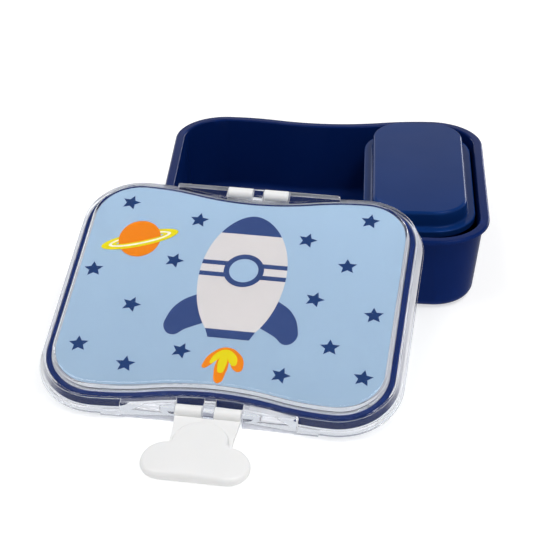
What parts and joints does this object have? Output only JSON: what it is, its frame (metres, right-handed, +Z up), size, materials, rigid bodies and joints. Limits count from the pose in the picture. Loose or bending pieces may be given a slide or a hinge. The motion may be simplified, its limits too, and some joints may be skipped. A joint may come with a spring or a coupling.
{
  "type": "lunch box",
  "caption": "Child's waisted lunch box: open base with a lidded snack cup, and a clear printed lid lying against it with a hinged latch on each long side.",
  "frame": {"origin": "centre of the base's flat underside, on the table", "axes": "+X along the box's length towards the snack cup, +Y towards the box's back, +Z up"},
  "size_m": [0.2289, 0.3058, 0.0622],
  "materials": {
    "base_plastic": "satin moulded polypropylene, navy",
    "cup_plastic": "satin moulded polypropylene, navy",
    "cup_lid_plastic": "satin moulded polyethylene, slightly greyer navy",
    "clear_plastic": "clear glossy copolyester",
    "printed_film": "printed film, light blue ground",
    "seal_silicone": "soft matt silicone, navy",
    "latch_plastic": "satin moulded plastic, white"
  },
  "bodies": {
    "base": {"base_box": "base_plastic"},
    "lid": {"lid_shell": "clear_plastic", "printed_panel": "printed_film", "lid_seal": "seal_silicone"},
    "front_latch": {"front_latch": "latch_plastic"},
    "rear_latch": {"rear_latch": "latch_plastic"},
    "snack_cup": {"snack_cup": "cup_plastic"},
    "snack_cup_lid": {"snack_cup_lid": "cup_lid_plastic"}
  },
  "joints": [
    {"name": "lid_lift", "type": "slide", "parent": "base", "child": "lid", "axis": [0, 0, 1], "range_m": [0, 0.12]},
    {"name": "front_latch_hinge", "type": "hinge", "parent": "lid", "child": "front_latch", "pos_m": [-0.0512, -0.18694, 0.01006], "axis": [-0.9934, 0.1149, 0], "range_deg": [-98.8, 71.2]},
    {"name": "rear_latch_hinge", "type": "hinge", "parent": "lid", "child": "rear_latch", "pos_m": [-0.03516, -0.04827, 0.05676], "axis": [0.9934, -0.1149, 0], "range_deg": [0, 170]},
    {"name": "cup_lift", "type": "slide", "parent": "base", "child": "snack_cup", "axis": [0, 0, 1], "range_m": [0, 0.09]},
    {"name": "cup_lid_lift", "type": "slide", "parent": "snack_cup", "child": "snack_cup_lid", "axis": [0, 0, 1], "range_m": [0, 0.04]}
  ]
}
